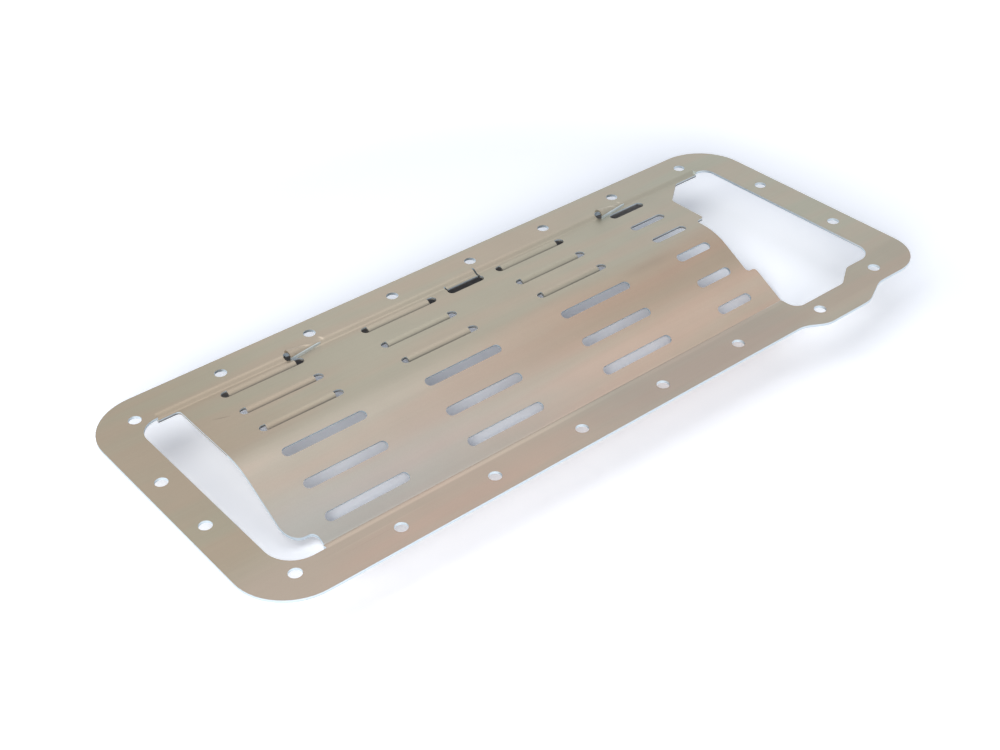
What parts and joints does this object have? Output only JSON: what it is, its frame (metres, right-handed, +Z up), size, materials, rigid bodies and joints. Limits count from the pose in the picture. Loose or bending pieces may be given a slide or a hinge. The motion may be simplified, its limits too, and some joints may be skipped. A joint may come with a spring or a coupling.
{
  "type": "windage tray",
  "caption": "Louvered sheet steel windage tray: a flat bolt-on rail round a stepped panel that bends down into a slotted ramp under the crank.",
  "frame": {"origin": "on the plane of the rail's top face, midway between the front and back rows of rail bolts and in the middle of the back row of six", "axes": "+Z up towards the engine block, square to the rail; +X along the crank towards the wide port; -Y towards the low side of the ramp"},
  "size_m": [0.5844, 0.2481, 0.044],
  "materials": {
    "plated_steel": "satin plated steel sheet, warm grey, with rolled grain and handling marks"
  },
  "bodies": {
    "root": {"windage_tray": "plated_steel"}
  },
  "joints": []
}
